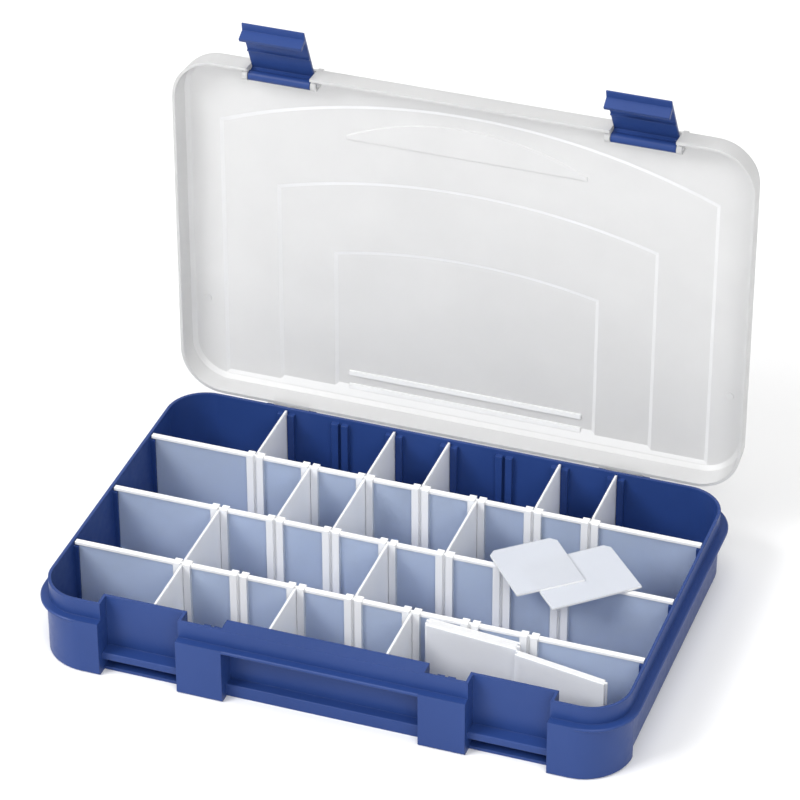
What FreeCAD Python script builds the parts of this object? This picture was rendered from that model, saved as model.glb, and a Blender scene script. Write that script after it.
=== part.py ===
import FreeCAD, Part
import math
import os

Vector = FreeCAD.Vector

# Compartment storage box in millimetres. +Z is up, +Y points towards the hinge,
# and the origin is the centre of the tray's underside.

# Tray shell
tray_height = 46.8
lip_half_x = 172.4
lip_half_y = 110.6
lip_corner = 24.0
wall = 1.8
floor = 2.0
wall_taper = 0.8
bottom_bevel = 3.5
inside_bevel = 2.0

# Ledge that the lid's skirt lands on
lip_rise = 11.0
ledge_thick = 2.2
ledge_reach = 4.8
ledge_bevel = 0.6

# Front wall: two latch recesses and a finger grip between them, set in from the lip
latch_from_side = 63.4
recess_width = 47.0
pad_width = 27.5
pad_bevel = 1.0
setback = 8.8
toe_inset = 2.4
toe_height = 8.0
catch_top = 13.0
catch_thick = 3.0
catch_reach = 8.6
catch_lip = 1.4
catch_lip_thick = 1.4

# Divider system
rear_row = 50.7
end_bay = 66.09
slots_each_side = 3
divider_nub = 0.6
web = 1.6
bead_width = 3.2
bead_height = 1.8
plate = 1.3
plate_corner = 3.4
slot_play = 0.3
boss_width = 10.5
boss_depth = 1.9
end_rib = 1.6
end_rib_depth = 2.2
end_rib_drop = 3.0
front_rib_drop = 7.8

# Lid, described closed
lid_gap = 0.2
lid_over = 2.9
lid_skirt = 17.0
lid_draft = 1.0
lid_round = 4.0
lid_inside_bevel = 2.4
lid_open_angle = 90.5

# Nested raised panels of the lid with leaning sides. Each one's distance from the lid's edges:
# sides, shoulder of the bowed front edge, crown of that edge
lid_panels = ((23.3, 44.5, 15.5), (58.3, 83.5, 67.0), (93.3, 123.0, 114.0))
panel_step = 1.0
panel_slope = 2.2
panel_from_back = 5.5

# Underside of the lid: two ribs near the hinge, a bare label field, round marks at the ends
lid_ribs_from_back = (20.6, 11.3)
lid_rib_inset = 9.0
lid_rib_width = 3.2
lid_rib_height = 1.2
label_from_side = 101.8
label_back = 45.0
label_shoulder = 41.5
label_crown = 24.5
label_depth = 0.8
label_slope = 0.8
lid_mark_from_end = 12.3
lid_mark_from_back = 56.5
lid_mark_radius = 2.6
lid_mark_depth = 0.5

# Hinge
hinge_behind = 3.4
hinge_above = 1.8
hinge_rod = 2.0
hinge_play = 0.08
hinge_barrel = 3.1
hinge_from_side = 67.4
hinge_width = 22.0
hinge_side_gap = 0.5
lug_thick = 4.0
lug_drop = 12.0

# Latches, described closed; the open angles are those they stand at
latch_width = 38.0
latch_barrel = 3.0
latch_pin = 1.5
latch_pin_play = 0.08
latch_pin_long = 2.8
latch_side_gap = 0.4
ear_thick = 3.2
ear_radius = 3.3
pivot_inset = 5.9
pivot_rise = 4.0
spine_offset = 5.4
spine_thick = 2.2
spine_top = 1.2
spine_rib = 1.0
latch_foot = 1.0
finger_lip = 1.2
scoop_rise = 4.2
scoop_reach = 1.2
hook_reach = 1.2
hook_rise = 4.6
hook_gap = 0.4
notch_gap = 0.5
latch_open_left = 65.5
latch_open_right = 58.5

# Derived levels and faces
ledge_top = tray_height - lip_rise
divider_top = tray_height - divider_nub
end_rib_top = tray_height - end_rib_drop
front_rib_top = tray_height - front_rib_drop
ledge_half_x = lip_half_x + ledge_reach
ledge_half_y = lip_half_y + ledge_reach
ledge_corner = lip_corner + ledge_reach
cavity_half_x = lip_half_x - wall
cavity_half_y = lip_half_y - wall
floor_half_x = cavity_half_x - wall_taper
floor_half_y = cavity_half_y - wall_taper
front_inner = -(cavity_half_y - setback)
front_outer = front_inner - wall
latch_centre = lip_half_x - latch_from_side
recess_half = recess_width / 2
grip_half = latch_centre - recess_half - pad_width
row_pitch = floor_half_y - rear_row
slot_pitch = (floor_half_x - end_bay) / slots_each_side
lid_half_x = lip_half_x + lid_over
lid_half_y = lip_half_y + lid_over
lid_corner = lip_corner + lid_over
hinge_y = ledge_half_y + hinge_behind
hinge_z = ledge_top + hinge_above
hinge_site = lip_half_x - hinge_from_side
lid_rim = ledge_top + lid_gap
lid_top = lid_rim + lid_skirt
pivot_y = -(lid_half_y - pivot_inset)
pivot_z = lid_rim + pivot_rise
spine_outer = spine_offset + spine_thick
notch_top = pivot_z + math.hypot(spine_outer, spine_top) + notch_gap
groove = plate + 2 * slot_play
catch_front = front_outer - catch_reach
catch_under = catch_top - catch_thick

row_lines = {"rear": row_pitch, "middle": 0.0, "front": -row_pitch}

# Span of a cross divider in each row, from face to face less the slot play
web_face = web / 2 + slot_play
row_spans = {
    "rear": (row_pitch + web_face, floor_half_y - slot_play),
    "second": (web_face, row_pitch - web_face),
    "third": (-row_pitch + web_face, -web_face),
    "front": (front_inner + slot_play, -row_pitch - web_face),
}
# Slot numbers that hold a cross divider; slot 0 is the middle one
filled_slots = {
    "rear": (-3, -1, 0, 2, 3),
    "second": (-2, -1, 1),
    "third": (-3, 0),
    "front": (-3, -1, 1),
}
slot_numbers = range(-slots_each_side, slots_each_side + 1)

# Loose dividers lying on the middle long divider: row size, centre, turn
loose_lower_from_end = 55.2
loose_upper_from_end = 81.6
loose_lower_y = 2.9
loose_upper_y = 2.3
loose_plates = {
    "loose_divider_lower": ("second", floor_half_x - loose_lower_from_end, loose_lower_y, -48.0),
    "loose_divider_upper": ("front", floor_half_x - loose_upper_from_end, loose_upper_y, -50.0),
}
# Spare dividers standing on edge in the front right compartment, in two stacks turned in plan:
# left end, turn, shift of each divider along its stack
spare_from_slot = 10.5
spare_from_end = 13.9
spare_space = 0.15
spare_length = row_spans["second"][1] - row_spans["second"][0]
spare_stacks = (
    (slot_pitch + spare_from_slot, -5.0, (1.0, 0.0, 2.0, 0.5, 1.5)),
    (floor_half_x - spare_from_end - spare_length, -10.0, (0.0, 2.0, 1.0)),
)


def box(x0, x1, y0, y1, z0, z1):
    return Part.makeBox(x1 - x0, y1 - y0, z1 - z0, Vector(x0, y0, z0))


def rod_along_x(x0, x1, y, z, radius):
    return Part.makeCylinder(radius, x1 - x0, Vector(x0, y, z), Vector(1, 0, 0))


def outline(half_x, front, back, radius, z):
    """Closed wire of a rectangle with rounded corners at height z."""
    s = radius * (1 - math.sqrt(0.5))
    corners = ((half_x, front, -1, 1), (half_x, back, -1, -1), (-half_x, back, 1, -1), (-half_x, front, 1, 1))
    arcs = []
    for index, (cx, cy, dx, dy) in enumerate(corners):
        along_x = Vector(cx + dx * radius, cy, z)
        along_y = Vector(cx, cy + dy * radius, z)
        middle = Vector(cx + dx * s, cy + dy * s, z)
        ends = (along_x, along_y) if index % 2 == 0 else (along_y, along_x)
        arcs.append((ends[0], middle, ends[1]))
    edges = []
    for index, (start, middle, end) in enumerate(arcs):
        edges.append(Part.Arc(start, middle, end).toShape())
        edges.append(Part.makeLine(end, arcs[(index + 1) % 4][0]))
    return Part.Wire(edges)


def prism(wire, height):
    return Part.Face(wire).extrude(Vector(0, 0, height))


def leaning_section(half, low, high, widen):
    """Closed points of a trapezium that is wider by widen on each side at the top."""
    return (-half, low), (half, low), (half + widen, high), (-half - widen, high), (-half, low)


def tapered_block(half_x, half_y, radius, low, high, widen):
    """Block with rounded corners whose sides lean outwards by widen from low to high; sizes are at low."""
    core_x, core_y = half_x - radius, half_y - radius
    side_view = [Vector(x, -core_y, z) for x, z in leaning_section(half_x, low, high, widen)]
    end_view = [Vector(-core_x, y, z) for y, z in leaning_section(half_y, low, high, widen)]
    block = Part.Face(Part.makePolygon(side_view)).extrude(Vector(0, 2 * core_y, 0))
    parts = [Part.Face(Part.makePolygon(end_view)).extrude(Vector(2 * core_x, 0, 0))]
    for quarter, (sx, sy) in enumerate(((1, 1), (-1, 1), (-1, -1), (1, -1))):
        centre = Vector(sx * core_x, sy * core_y, low)
        corner = Part.makeCone(radius, radius + widen, high - low, centre, Vector(0, 0, 1), 90)
        corner.rotate(centre, Vector(0, 0, 1), 90 * quarter)
        parts.append(corner)
    return block.fuse(parts).removeSplitter()


def edges_at(shape, z):
    found = []
    for edge in shape.Edges:
        if all(abs(vertex.Point.z - z) < 1e-6 for vertex in edge.Vertexes):
            found.append(edge)
    return found


def mirrored(shape):
    return shape.mirror(Vector(0, 0, 0), Vector(1, 0, 0))


def turned(shape, y, z, degrees):
    """Turn about an axis along X; a positive angle swings the front upwards and back."""
    copy = shape.copy()
    copy.rotate(Vector(0, y, z), Vector(1, 0, 0), -degrees)
    return copy


def slot_boss(x, wall_face, toward, bottom, top, root):
    """Two ribs with a groove between them, standing on a face that looks along Y and rooted behind it."""
    tip = wall_face + toward * boss_depth
    base = wall_face - toward * root
    low, high = min(tip, base), max(tip, base)
    left = box(x - boss_width / 2, x - groove / 2, low, high, bottom, top)
    right = box(x + groove / 2, x + boss_width / 2, low, high, bottom, top)
    return [left, right]


def tray_outside():
    body = tapered_block(lip_half_x - wall_taper, lip_half_y - wall_taper, lip_corner - wall_taper,
                         0, tray_height, wall_taper)
    return body.makeChamfer(bottom_bevel, edges_at(body, 0))


def tray_ledge():
    base = ledge_top - ledge_thick
    ring = prism(outline(ledge_half_x, -ledge_half_y, ledge_half_y, ledge_corner, base), ledge_thick)
    return ring.makeChamfer(ledge_bevel, edges_at(ring, base) + edges_at(ring, ledge_top))


def front_steps():
    """Blocks that carry the set-in front wall behind the recesses and the finger grip."""
    spans = [(-grip_half - wall, grip_half + wall)]
    for side in (-1, 1):
        middle = side * latch_centre
        spans.append((middle - recess_half - wall, middle + recess_half + wall))
    return [box(x0, x1, -lip_half_y - 1, front_inner, -1, tray_height + 1) for x0, x1 in spans]


def tray_cavity():
    room = tapered_block(floor_half_x, floor_half_y, lip_corner - wall - wall_taper,
                         floor, tray_height, wall_taper)
    room = room.makeChamfer(inside_bevel, edges_at(room, floor))
    return room.cut(front_steps() + slot_ribs())


def pad_skirt(x0, x1):
    """Hollow pad hanging from the ledge down to the underside, open below."""
    back = -lip_half_y + wall
    skin = box(x0, x1, -ledge_half_y, back, 0, ledge_top)
    outer = [edge for edge in edges_at(skin, 0) if edge.CenterOfMass.y < -ledge_half_y + 0.1]
    skin = skin.makeChamfer(pad_bevel, outer)
    hollow = box(x0 + wall, x1 - wall, -ledge_half_y + wall, back, -1, ledge_top - ledge_thick)
    return skin.cut(hollow)


def corner_skirt():
    """Right front corner pad: follows the corner round and runs out in the side wall."""
    inner_edge = latch_centre + recess_half
    half_x = lip_half_x + wall / 2
    reach = box(inner_edge, half_x + 1, -ledge_half_y - 1, -ledge_half_y + ledge_corner, -1, tray_height)
    skin = prism(outline(half_x, -ledge_half_y, ledge_half_y, ledge_corner, 0), ledge_top)
    skin = skin.makeChamfer(pad_bevel, edges_at(skin, 0)).common(reach)
    hollow = prism(outline(half_x - wall, -ledge_half_y + wall, ledge_half_y, ledge_corner - wall, -1),
                   ledge_top - ledge_thick + 1)
    return skin.cut(hollow.cut(box(-half_x, inner_edge + wall, -ledge_half_y, ledge_half_y, -1, tray_height)))


def grip_pocket():
    """Space under the rim between the latches where fingers reach in."""
    under_rim = box(-grip_half, grip_half, -cavity_half_y, front_outer, -1, tray_height - wall)
    below = box(-grip_half, grip_half, -ledge_half_y - 5, front_outer, -1, ledge_top - ledge_thick)
    return [under_rim, below]


def toe_rail(x0, x1, top):
    """Foot of the set-in wall: an upright face joined to the wall along its top edge."""
    toe_front = -lip_half_y + toe_inset
    face = box(x0, x1, toe_front, toe_front + wall, 0, top)
    cover = box(x0, x1, toe_front, front_outer + wall / 2, top - wall, top)
    rail = face.fuse(cover).removeSplitter()
    outer = [edge for edge in edges_at(rail, top) if edge.CenterOfMass.y < toe_front + 0.1]
    return rail.makeFillet(wall * 0.5, outer)


def catch_shelf(middle):
    """Shelf with a downturned lip; the latch hook goes under it."""
    x0, x1 = middle - recess_half - wall / 2, middle + recess_half + wall / 2
    shelf = box(x0, x1, catch_front, front_outer + wall / 2, catch_under, catch_top)
    lip = box(x0, x1, catch_front, catch_front + catch_lip_thick, catch_under - catch_lip, catch_top)
    shelf = shelf.fuse(lip).removeSplitter()
    outer = [edge for edge in edges_at(shelf, catch_top) if edge.CenterOfMass.y < catch_front + 0.1]
    return shelf.makeFillet(wall * 0.4, outer)


def recess_foot(middle):
    x0, x1 = middle - recess_half - wall / 2, middle + recess_half + wall / 2
    return box(x0, x1, -lip_half_y + toe_inset, front_outer + wall / 2, 0, floor)


def slot_ribs():
    """Ribs left standing in the cavity, in pairs: front and back for cross dividers, ends for long ones."""
    ribs = []
    for number in slot_numbers:
        x = number * slot_pitch
        ribs += slot_boss(x, floor_half_y, -1, 0, end_rib_top, wall_taper + wall)
        ribs += slot_boss(x, front_inner, 1, 0, front_rib_top, setback + wall)
    gap = web / 2 + slot_play
    for y in row_lines.values():
        for side in (-1, 1):
            tip = side * (floor_half_x - end_rib_depth)
            base = side * (cavity_half_x + wall)
            low, high = min(tip, base), max(tip, base)
            ribs.append(box(low, high, y + gap, y + gap + end_rib, 0, end_rib_top))
            ribs.append(box(low, high, y - gap - end_rib, y - gap, 0, end_rib_top))
    return ribs


def hinge_lugs():
    """Two lugs and the rod between them, standing on the ledge's back edge."""
    parts = []
    half = hinge_width / 2 + hinge_side_gap
    root = lip_half_y - wall / 2
    points = [(root, ledge_top - lug_drop), (ledge_half_y, ledge_top - lug_drop * 0.75),
              (hinge_y + hinge_barrel, hinge_z), (hinge_y - hinge_barrel, hinge_z),
              (ledge_half_y - ledge_bevel, ledge_top), (root, ledge_top)]
    for side in (-1, 1):
        middle = side * hinge_site
        left, right = middle - half - lug_thick, middle + half
        parts.append(rod_along_x(left, right + lug_thick, hinge_y, hinge_z, hinge_rod))
        for x0 in (left, right):
            eye = rod_along_x(x0, x0 + lug_thick, hinge_y, hinge_z, hinge_barrel)
            wire = Part.makePolygon([Vector(x0, y, z) for y, z in points + points[:1]])
            gusset = Part.Face(wire).extrude(Vector(lug_thick, 0, 0))
            parts += [eye, gusset]
    return parts


def base_tray():
    adds = [tray_ledge(), corner_skirt(), mirrored(corner_skirt())]
    inner_pad = (grip_half, latch_centre - recess_half)
    adds += [pad_skirt(*inner_pad), mirrored(pad_skirt(*inner_pad))]
    tray = tray_outside().fuse(adds).cut(tray_cavity())
    for side in (-1, 1):
        middle = side * latch_centre
        tray = tray.cut(box(middle - recess_half, middle + recess_half, -ledge_half_y - 5, front_outer,
                            -1, tray_height + 1))
    tray = tray.cut(grip_pocket())
    parts = [toe_rail(-grip_half - wall / 2, grip_half + wall / 2, toe_height)]
    for side in (-1, 1):
        parts += [catch_shelf(side * latch_centre), recess_foot(side * latch_centre)]
    return tray.fuse(parts + hinge_lugs()).removeSplitter()


def arched_panel(half_x, shoulder, crown, back, base, height, slope):
    """Plate with straight sides and a front edge bowed towards the latches; all sides lean in by slope."""
    wires = []
    for inset, z in ((0, base), (slope, base + height)):
        left = Vector(-half_x + inset, shoulder + inset, z)
        right = Vector(half_x - inset, shoulder + inset, z)
        front = Part.Arc(left, Vector(0, crown + inset, z), right).toShape()
        back_right = Vector(half_x - inset, back - inset, z)
        back_left = Vector(-half_x + inset, back - inset, z)
        sides = Part.makePolygon([right, back_right, back_left, left])
        wires.append(Part.Wire([front] + sides.Edges))
    return Part.makeLoft(wires, True, True)


def panel_stack(base):
    """The nested panels piled up from a level; outside and inside of the lid share the outlines."""
    stack = []
    front = -lid_half_y
    for level, (side, shoulder, crown) in enumerate(lid_panels):
        back = lid_half_y - panel_from_back - level * panel_slope
        foot = base + level * panel_step
        stack.append(arched_panel(lid_half_x - side, front + shoulder, front + crown, back,
                                  foot, panel_step, panel_slope))
    return stack


def lid_shell():
    outside = tapered_block(lid_half_x, lid_half_y, lid_corner, lid_rim, lid_top, -lid_draft)
    outside = outside.makeFillet(lid_round, edges_at(outside, lid_top)).fuse(panel_stack(lid_top))
    ceiling = lid_top - wall
    inside = tapered_block(lid_half_x - wall, lid_half_y - wall, lid_corner - wall,
                           lid_rim, ceiling, -lid_draft)
    inside = inside.makeChamfer(lid_inside_bevel, edges_at(inside, ceiling)).fuse(panel_stack(ceiling))
    return outside.cut(inside)


def lid_furniture():
    """Ribs near the hinge, round marks and the bare label field, on the underside."""
    ceiling = lid_top - wall
    deep = ceiling + len(lid_panels) * panel_step
    parts = []
    rib_half = lid_half_x - lid_panels[-1][0] - lid_rib_inset
    for inset in lid_ribs_from_back:
        y = lid_half_y - inset
        parts.append(box(-rib_half, rib_half, y - lid_rib_width / 2, y + lid_rib_width / 2,
                         deep - lid_rib_height, deep + wall / 4))
    for side in (-1, 1):
        centre = Vector(side * (lid_half_x - lid_mark_from_end), lid_half_y - lid_mark_from_back,
                        ceiling - lid_mark_depth)
        parts.append(Part.makeCylinder(lid_mark_radius, lid_mark_depth + wall / 4, centre))
    root = ceiling + panel_step + wall / 4
    front = -lid_half_y
    parts.append(arched_panel(lid_half_x - label_from_side, front + label_shoulder, front + label_crown,
                              front + label_back, root, -label_depth - wall / 4, label_slope))
    return parts


def lid_latch_ears(middle):
    """Two brackets behind the skirt's notch that carry the latch pins."""
    parts = []
    half = latch_width / 2 + latch_side_gap
    front, back = -lid_half_y + wall / 2, pivot_y + ear_radius
    for x0 in (middle - half - ear_thick, middle + half):
        parts.append(rod_along_x(x0, x0 + ear_thick, pivot_y, pivot_z, ear_radius))
        parts.append(box(x0, x0 + ear_thick, front, back, pivot_z, lid_top - wall / 2))
    return parts


def lid_closed():
    lid = lid_shell()
    notch_half = latch_width / 2 + latch_side_gap
    hole = latch_pin + latch_pin_play
    adds = lid_furniture()
    cuts = []
    for side in (-1, 1):
        middle = side * latch_centre
        left, right = middle - notch_half, middle + notch_half
        adds += lid_latch_ears(middle)
        cuts.append(box(left, right, -lid_half_y - 5, pivot_y, lid_rim - 5, notch_top))
        cuts.append(rod_along_x(left - ear_thick - 1, right + ear_thick + 1, pivot_y, pivot_z, hole))
        knuckle = (side * hinge_site - hinge_width / 2, side * hinge_site + hinge_width / 2)
        adds.append(rod_along_x(*knuckle, hinge_y, hinge_z, hinge_barrel))
        adds.append(box(*knuckle, lid_half_y - wall, hinge_y, hinge_z, hinge_z + hinge_barrel))
        cuts.append(rod_along_x(knuckle[0] - 1, knuckle[1] + 1, hinge_y, hinge_z, hinge_rod + hinge_play))
    return lid.fuse(adds).cut(cuts).removeSplitter()


def latch_closed(middle):
    """Barrel with end pins, upright spine, finger lip at its foot and a hook that goes in under the catch."""
    x0, x1 = middle - latch_width / 2, middle + latch_width / 2
    inner = pivot_y - spine_offset
    outer = pivot_y - spine_outer
    tip = pivot_y + hook_reach
    scoop = latch_foot + scoop_rise
    tip_low = min(latch_foot + hook_rise, catch_under - catch_lip - hook_gap - spine_thick)
    head = pivot_z + spine_top
    points = [(pivot_y, head), (outer, head), (outer, latch_foot), (outer + finger_lip, latch_foot),
              (outer + finger_lip + scoop_reach, scoop), (tip, tip_low), (tip, tip_low + spine_thick),
              (inner, scoop + spine_thick), (inner, head - spine_thick), (pivot_y, head - spine_thick)]
    wire = Part.makePolygon([Vector(x0, y, z) for y, z in points + points[:1]])
    body = Part.Face(wire).extrude(Vector(latch_width, 0, 0))
    soft = [edge for edge in body.Edges if abs(edge.CenterOfMass.y - outer) < 0.01
            and edge.Length > latch_width - 0.01]
    body = body.makeFillet(finger_lip * 0.6, soft)
    rib_low = (head + scoop - spine_rib) / 2
    barrel = rod_along_x(x0, x1, pivot_y, pivot_z, latch_barrel)
    pins = rod_along_x(x0 - latch_pin_long, x1 + latch_pin_long, pivot_y, pivot_z, latch_pin)
    rib = box(x0, x1, inner - spine_thick / 2, inner + spine_rib, rib_low, rib_low + spine_rib)
    return body.fuse([barrel, pins, rib]).removeSplitter()


def long_divider(y):
    base = floor
    length = floor_half_x - slot_play - 0.2
    bead_length = cavity_half_x - 2 * slot_play
    points = [(-length + plate_corner, base), (length - plate_corner, base), (length, base + plate_corner),
              (length, divider_top), (-length, divider_top), (-length, base + plate_corner)]
    wire = Part.makePolygon([Vector(x, y - web / 2, z) for x, z in points + points[:1]])
    body = Part.Face(wire).extrude(Vector(0, web, 0))
    parts = [box(-bead_length, bead_length, y - bead_width / 2, y + bead_width / 2,
                 divider_top - bead_height, divider_top)]
    grooves = []
    for number in slot_numbers:
        x = number * slot_pitch
        for toward in (-1, 1):
            face = y + toward * web / 2
            parts += slot_boss(x, face, toward, base, divider_top + divider_nub, web / 4)
            outer = face + toward * (boss_depth + 1)
            low, high = min(face, outer), max(face, outer)
            grooves.append(box(x - groove / 2, x + groove / 2, low, high, 0, tray_height + 5))
    return body.fuse(parts).cut(grooves).removeSplitter()


def divider_plate(length):
    """Flat plate standing on its long edge, centred over the origin, lower corners cut off."""
    half = length / 2
    height = divider_top - floor
    points = [(-half + plate_corner, 0), (half - plate_corner, 0), (half, plate_corner), (half, height),
              (-half, height), (-half, plate_corner)]
    wire = Part.makePolygon([Vector(-plate / 2, y, z) for y, z in points + points[:1]])
    return Part.Face(wire).extrude(Vector(plate, 0, 0))


def row_length(row):
    return row_spans[row][1] - row_spans[row][0]


def cross_divider(row, number):
    shape = divider_plate(row_length(row))
    shape.translate(Vector(number * slot_pitch, sum(row_spans[row]) / 2, floor))
    return shape


def loose_divider(row, x, y, turn, layer):
    shape = divider_plate(row_length(row))
    shape.rotate(Vector(0, 0, 0), Vector(0, 1, 0), 90)
    shape.translate(Vector(-(divider_top - floor) / 2, 0, plate / 2))
    shape.rotate(Vector(0, 0, 0), Vector(0, 0, 1), turn)
    shape.translate(Vector(x, y, divider_top + divider_nub + layer * plate))
    return shape


def spare_dividers():
    """Dividers of the second row's size; each stack starts in front of the one before."""
    spares = []
    pitch = plate + spare_space
    start = -row_pitch - web / 2 - boss_depth - slot_play - plate / 2
    for left, turn, shifts in spare_stacks:
        for layer, shift in enumerate(shifts):
            shape = divider_plate(spare_length)
            shape.rotate(Vector(0, 0, 0), Vector(0, 0, 1), 90)
            shape.translate(Vector(spare_length / 2 + shift, -layer * pitch, 0))
            shape.rotate(Vector(0, 0, 0), Vector(0, 0, 1), turn)
            shape.translate(Vector(left, start, floor))
            spares.append(shape)
        start += spare_length * math.sin(math.radians(turn)) - len(shifts) * pitch
    return spares


def all_nodes():
    nodes = {"base_tray": base_tray(), "lid": turned(lid_closed(), hinge_y, hinge_z, lid_open_angle)}
    for name, side, angle in (("left", -1, latch_open_left), ("right", 1, latch_open_right)):
        latch = turned(latch_closed(side * latch_centre), pivot_y, pivot_z, angle)
        nodes["latch_" + name] = turned(latch, hinge_y, hinge_z, lid_open_angle)
    for name, y in row_lines.items():
        nodes["long_divider_" + name] = long_divider(y)
    for row, numbers in filled_slots.items():
        for number in numbers:
            nodes["cross_%s_%d" % (row, number + slots_each_side + 1)] = cross_divider(row, number)
    for layer, (name, (row, x, y, turn)) in enumerate(loose_plates.items()):
        nodes[name] = loose_divider(row, x, y, turn, layer)
    for index, shape in enumerate(spare_dividers()):
        nodes["spare_divider_%d" % (index + 1)] = shape
    return nodes


os.makedirs("parts", exist_ok=True)
for node, shape in all_nodes().items():
    shape.exportStep("parts/%s.step" % node)
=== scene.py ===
import bpy
from mathutils import Matrix, Vector


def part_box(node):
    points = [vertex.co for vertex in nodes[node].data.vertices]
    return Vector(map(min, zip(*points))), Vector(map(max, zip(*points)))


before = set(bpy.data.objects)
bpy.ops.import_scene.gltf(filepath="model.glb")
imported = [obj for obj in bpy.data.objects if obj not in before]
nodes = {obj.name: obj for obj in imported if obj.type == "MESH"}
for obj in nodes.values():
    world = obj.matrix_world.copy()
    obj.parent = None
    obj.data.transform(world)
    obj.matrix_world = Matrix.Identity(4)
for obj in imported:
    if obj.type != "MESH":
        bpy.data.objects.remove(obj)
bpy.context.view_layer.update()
scene = bpy.context.scene
scene.view_settings.view_transform = "Standard"


def centre(name):
    low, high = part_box(name)
    return (Vector(low) + Vector(high)) / 2


# Sizes are in metres. Long dividers: two ribs at each slot, none past the last slots, a bead along the top
slot_pitch = centre("cross_rear_4").x - centre("cross_rear_3").x
slots_end = 3.4 * slot_pitch
slots_gone = 3.5 * slot_pitch
slot_rib_reach = 0.0050
slot_rib_soft = 0.0005
bead_depth = 0.0016
bead_soft = 0.0004
divider_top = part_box("cross_rear_4")[1][2]

# Lid standing open: border taken by the skirt, and the two ribs above its lowest point
lid_low, lid_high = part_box("lid")
lid_border = 0.012
lid_border_soft = 0.002
lid_rib_levels = (0.0197, 0.0290)
lid_rib_half = 0.073
lid_rib_end_soft = 0.0005
lid_rib_width = 0.0032
lid_rib_soft = 0.0003

# Painted highlight on the lid's sloped faces, how white it makes them: bowed fronts, straight sides, steep
# faces, ribs
bowed_highlight_share = 1.0
side_highlight_share = 0.4
steep_highlight_share = 0.35
rib_highlight_share = 0.7

# A face looks along an axis where its direction's part along that axis is above these
edge_turned = 0.93
edge_flat = 0.97

# White blended in where a milky mask is: thick ribs and bead, and painted highlight on plate edges and lid
# steps
thick_and_highlight_white = (0.95, 0.955, 0.96, 1.0)
blue_edge = 0.0006
milky_edge = 0.0005
glow_depth = 0.004

# Lamps: name, place, target, watts
lamp_size = 1.6
tray_middle = (0, 0, 0.05)
lid_foot = (0, 0.1, 0.1)
lamps = (
    ("key", (-1.9, -1.9, 2.4), tray_middle, 92),
    ("fill", (1.6, -2.3, 2.2), tray_middle, 46),
    ("top", (0.2, -0.3, 3.2), tray_middle, 22),
    ("back", (0.2, 1.8, 2.6), lid_foot, 8),
)
world_light = 0.5
world_seen = 1.0
floor_half = 6.0

# Camera fitted to the photograph
camera_lens = 175.5
camera_sensor = 36.0
camera_reach = 20
camera_place = (0.61478, -1.70873, 1.35356)
camera_right = (0.94275, 0.33350, -0.00234)
camera_forward = (-0.27880, 0.78424, -0.55430)


class Graph:
    """Short way to build a material's node tree around one Principled shader."""

    def __init__(self, name):
        self.material = bpy.data.materials.new(name)
        self.material.use_nodes = True
        self.tree = self.material.node_tree
        self.shader = self.tree.nodes["Principled BSDF"]
        self.place = self.add("ShaderNodeTexCoord").outputs["Object"]

    def add(self, kind, inputs=None, **settings):
        node = self.tree.nodes.new(kind)
        for key, value in settings.items():
            setattr(node, key, value)
        for key, value in (inputs or {}).items():
            self.feed(node.inputs[key], value)
        return node

    def feed(self, socket, value):
        if isinstance(value, bpy.types.NodeSocket):
            self.tree.links.new(value, socket)
        else:
            socket.default_value = value

    def noise(self, scale, detail=3.0):
        inputs = {"Vector": self.place, "Scale": scale, "Detail": detail, "Roughness": 0.5}
        return self.add("ShaderNodeTexNoise", inputs).outputs["Fac"]

    def ramp(self, value, *stops):
        """Colour ramp with one stop for each position and colour, two in all."""
        node = self.add("ShaderNodeValToRGB", {"Fac": value})
        for element, (position, colour) in zip(node.color_ramp.elements, stops):
            element.position = position
            element.color = (*colour, 1.0)
        return node.outputs["Color"]

    def rescale(self, value, start, end, first, last):
        """Start to end becomes first to last, and values outside stay at those limits."""
        inputs = {"Value": value, "From Min": start, "From Max": end, "To Min": first, "To Max": last}
        return self.add("ShaderNodeMapRange", inputs).outputs["Result"]

    def span(self, noise, low, high):
        """Maps the usual range of a noise onto low to high."""
        return self.rescale(noise, 0.25, 0.75, low, high)

    def fade(self, value, near, far):
        """One up to near, falling to zero at far."""
        return self.rescale(value, near, far, 1.0, 0.0)

    def math(self, operation, *values):
        return self.add("ShaderNodeMath", dict(enumerate(values)), operation=operation).outputs[0]

    def band(self, value, middle, half, soft):
        """One within half of the middle, with a soft border."""
        away = self.math("ABSOLUTE", self.math("SUBTRACT", value, middle))
        return self.fade(away, half - soft, half + soft)

    def blend(self, share, first, second):
        node = self.add("ShaderNodeMix", data_type="RGBA")
        for socket, value in zip((node.inputs[0], node.inputs[6], node.inputs[7]), (share, first, second)):
            self.feed(socket, value)
        return node.outputs[2]

    def bump(self, height, strength, distance, normal):
        inputs = {"Height": height, "Strength": strength, "Distance": distance, "Normal": normal}
        return self.add("ShaderNodeBump", inputs).outputs["Normal"]

    def soft_edge(self, radius):
        return self.add("ShaderNodeBevel", {"Radius": radius}, samples=4).outputs["Normal"]

    def axes(self, coordinate):
        """X, Y and Z of a place or direction along the frame's axes."""
        return self.add("ShaderNodeSeparateXYZ", {"Vector": coordinate}).outputs

    def facing(self):
        """The face's own direction along the frame's axes."""
        return self.axes(self.add("ShaderNodeTexCoord").outputs["Normal"])

    def set(self, **values):
        names = {key.lower().replace(" ", "_"): key for key in self.shader.inputs.keys()}
        for key, value in values.items():
            self.feed(self.shader.inputs[names[key]], value)


def srgb(red, green, blue):
    """Linear colour of an 8-bit display colour."""
    out = []
    for channel in (red, green, blue):
        share = channel / 255
        out.append(share / 12.92 if share <= 0.04045 else ((share + 0.055) / 1.055) ** 2.4)
    return tuple(out)


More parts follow.
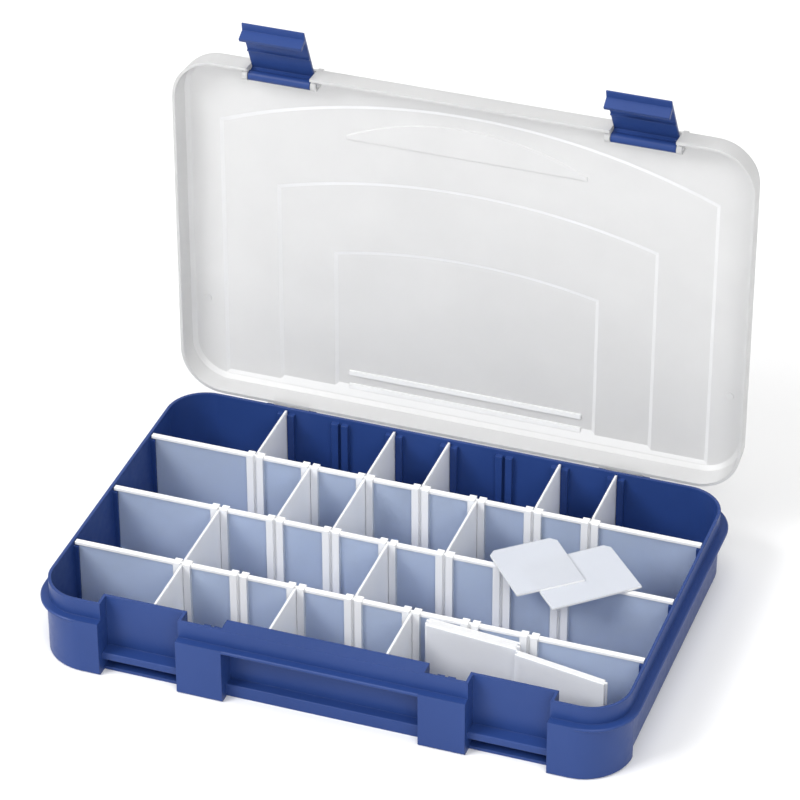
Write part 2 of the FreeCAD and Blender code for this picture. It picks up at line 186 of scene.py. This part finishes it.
def blue_plastic():
    """Moulded polypropylene: faint flow marks in the colour, fine pebbled skin, satin gloss, soft edges."""
    g = Graph("blue_plastic")
    flow = g.noise(14, 4)
    speck = g.noise(900, 2)
    g.set(
        base_color=g.ramp(flow, (0.25, srgb(34, 58, 114)), (0.75, srgb(41, 66, 125))),
        roughness=g.span(g.noise(220), 0.34, 0.46),
        normal=g.bump(speck, 0.12, 0.0002, g.bump(flow, 0.1, 0.0006, g.soft_edge(blue_edge))),
        specular_ior_level=0.25,
    )
    return g.material


def milky_plastic(name, tints, clear, rough, glow, thick_and_highlight_mask):
    """Frosted plastic that lets part of the light through, whiter and less clear where its mask is: thick
    ribs and bead, and painted highlight on plate edges and lid steps.
    """
    g = Graph(name)
    cloud = g.noise(22, 5)
    grain = g.noise(700, 2)
    mask = thick_and_highlight_mask(g)
    haze = g.span(cloud, clear - 0.04, clear + 0.04)
    g.set(
        # Whiter where the mask is: thick parts, and painted highlight on plate edges and lid steps
        base_color=g.blend(mask, g.ramp(cloud, (0.25, tints[0]), (0.75, tints[1])), thick_and_highlight_white),
        roughness=g.span(g.noise(160), rough - 0.05, rough + 0.07),
        normal=g.bump(grain, 0.08, 0.0002, g.bump(cloud, 0.05, 0.0008, g.soft_edge(milky_edge))),
        transmission_weight=g.rescale(mask, 0.0, 1.0, haze, clear * 0.2),
        subsurface_weight=glow,
        subsurface_radius=(1.0, 1.0, 1.0),
        subsurface_scale=glow_depth,
        ior=1.49,
    )
    return g.material


def near_slots(g):
    """Mask of a long divider's slot ribs and top bead."""
    place = g.axes(g.place)
    beside = g.math("PINGPONG", place["X"], slot_pitch / 2)
    inner = g.fade(g.math("ABSOLUTE", place["X"]), slots_end, slots_gone)
    ribs = g.math("MULTIPLY", g.fade(beside, slot_rib_reach, slot_rib_reach + slot_rib_soft), inner)
    below_top = g.math("SUBTRACT", divider_top, place["Z"])
    return g.math("MAXIMUM", ribs, g.fade(below_top, bead_depth, bead_depth + bead_soft))


def painted_edge_highlight(axis):
    """Mask of painted highlight on a plate's edges: faces that don't look along the plate's own axis."""
    return lambda g: g.fade(g.math("ABSOLUTE", g.facing()[axis]), edge_turned, edge_flat)


def painted_step_highlight(g):
    """Mask of painted highlight on the lid's panel steps and ribs: strongest on the bowed fronts, weaker on
    the sides and on steep faces, none on the skirt round them."""
    place = g.axes(g.place)
    look = g.facing()
    flat = g.math("ABSOLUTE", look["Y"])
    mask = g.fade(flat, edge_turned, edge_flat)
    mask = g.math("MULTIPLY", mask, g.rescale(flat, 0.8, 0.9, steep_highlight_share, 1.0))
    mask = g.math("MULTIPLY", mask, g.rescale(look["Z"], -0.3, 0.0, bowed_highlight_share, side_highlight_share))
    for axis, low, high in (("X", lid_low[0], lid_high[0]), ("Z", lid_low[2], lid_high[2])):
        half = (high - low) / 2 - lid_border
        mask = g.math("MULTIPLY", mask, g.band(place[axis], (high + low) / 2, half, lid_border_soft))
    along = g.band(place["X"], 0.0, lid_rib_half, lid_rib_end_soft)
    for level in lid_rib_levels:
        across = g.band(place["Z"], lid_low[2] + level, lid_rib_width / 2, lid_rib_soft)
        rib = g.math("MULTIPLY", g.math("MULTIPLY", along, across), rib_highlight_share)
        mask = g.math("MAXIMUM", mask, rib)
    return mask


def dress_pieces():
    """Gives every node the material of the first start of a name that fits, or the blue one."""
    lid_tints = (srgb(224, 224, 224), srgb(230, 230, 230))
    long_tints = (srgb(210, 225, 248), srgb(220, 233, 252))
    short_tints = (srgb(238, 242, 252), srgb(244, 247, 254))
    loose_tints = (srgb(208, 212, 221), srgb(218, 222, 230))
    blue = blue_plastic()
    finishes = {
        "lid": milky_plastic("lid_clear", lid_tints, 0.5, 0.42, 0.0, painted_step_highlight),
        "long_": milky_plastic("divider_long", long_tints, 0.55, 0.38, 0.0, near_slots),
        # Cross, spare and loose plates get painted highlight on their edges
        "cross_": milky_plastic("divider_cross", short_tints, 0.08, 0.38, 0.8, painted_edge_highlight("X")),
        "spare_": milky_plastic("divider_spare", short_tints, 0.08, 0.38, 0.6, painted_edge_highlight("Y")),
        "loose_": milky_plastic("divider_loose", loose_tints, 0.22, 0.38, 0.0, painted_edge_highlight("Z")),
    }
    for name, node in nodes.items():
        fitting = [finish for start, finish in finishes.items() if name.startswith(start)]
        node.data.materials.clear()
        node.data.materials.append(fitting[0] if fitting else blue)


def add_lamp(name, place, target, power):
    lamp = bpy.data.lights.new(name, "AREA")
    lamp.energy = power
    lamp.size = lamp_size
    holder = bpy.data.objects.new(name, lamp)
    scene.collection.objects.link(holder)
    holder.location = place
    holder.rotation_mode = "QUATERNION"
    holder.rotation_quaternion = (Vector(target) - Vector(place)).to_track_quat("-Z", "Y")


def white_background():
    """World that lights softly, and shows as white to the camera, in gloss and through clear plastic."""
    world = bpy.data.worlds.new("studio")
    world.use_nodes = True
    tree = world.node_tree
    shade = tree.nodes["Background"]
    shade.inputs["Color"].default_value = (1, 1, 1, 1)
    path = tree.nodes.new("ShaderNodeLightPath")
    seen = path.outputs["Is Camera Ray"]
    for ray in ("Is Transmission Ray", "Is Glossy Ray"):
        either = tree.nodes.new("ShaderNodeMath")
        either.operation = "MAXIMUM"
        tree.links.new(seen, either.inputs[0])
        tree.links.new(path.outputs[ray], either.inputs[1])
        seen = either.outputs[0]
    strength = tree.nodes.new("ShaderNodeMapRange")
    strength.inputs["To Min"].default_value = world_light
    strength.inputs["To Max"].default_value = world_seen
    tree.links.new(seen, strength.inputs["Value"])
    tree.links.new(strength.outputs["Result"], shade.inputs["Strength"])
    scene.world = world


def pale_floor():
    """White floor that keeps the object's shadow."""
    mesh = bpy.data.meshes.new("floor")
    corners = [(x * floor_half, y * floor_half, 0) for x, y in ((-1, -1), (1, -1), (1, 1), (-1, 1))]
    mesh.from_pydata(corners, [], [(0, 1, 2, 3)])
    floor = bpy.data.objects.new("floor", mesh)
    scene.collection.objects.link(floor)
    g = Graph("floor")
    g.set(base_color=g.ramp(g.noise(3), (0.3, (0.93, 0.93, 0.93)), (0.7, (0.95, 0.95, 0.95))), roughness=0.9)
    mesh.materials.append(g.material)


def add_camera():
    camera = bpy.data.cameras.new("camera")
    camera.lens = camera_lens
    camera.sensor_width = camera_sensor
    camera.clip_end = camera_reach
    holder = bpy.data.objects.new("camera", camera)
    scene.collection.objects.link(holder)
    forward = Vector(camera_forward).normalized()
    above = Vector(camera_right).cross(forward).normalized()
    right = forward.cross(above)
    turn = Matrix((right, above, -forward)).transposed()
    holder.matrix_world = Matrix.Translation(camera_place) @ turn.to_4x4()
    scene.camera = holder


dress_pieces()
for lamp_values in lamps:
    add_lamp(*lamp_values)
white_background()
pale_floor()
add_camera()
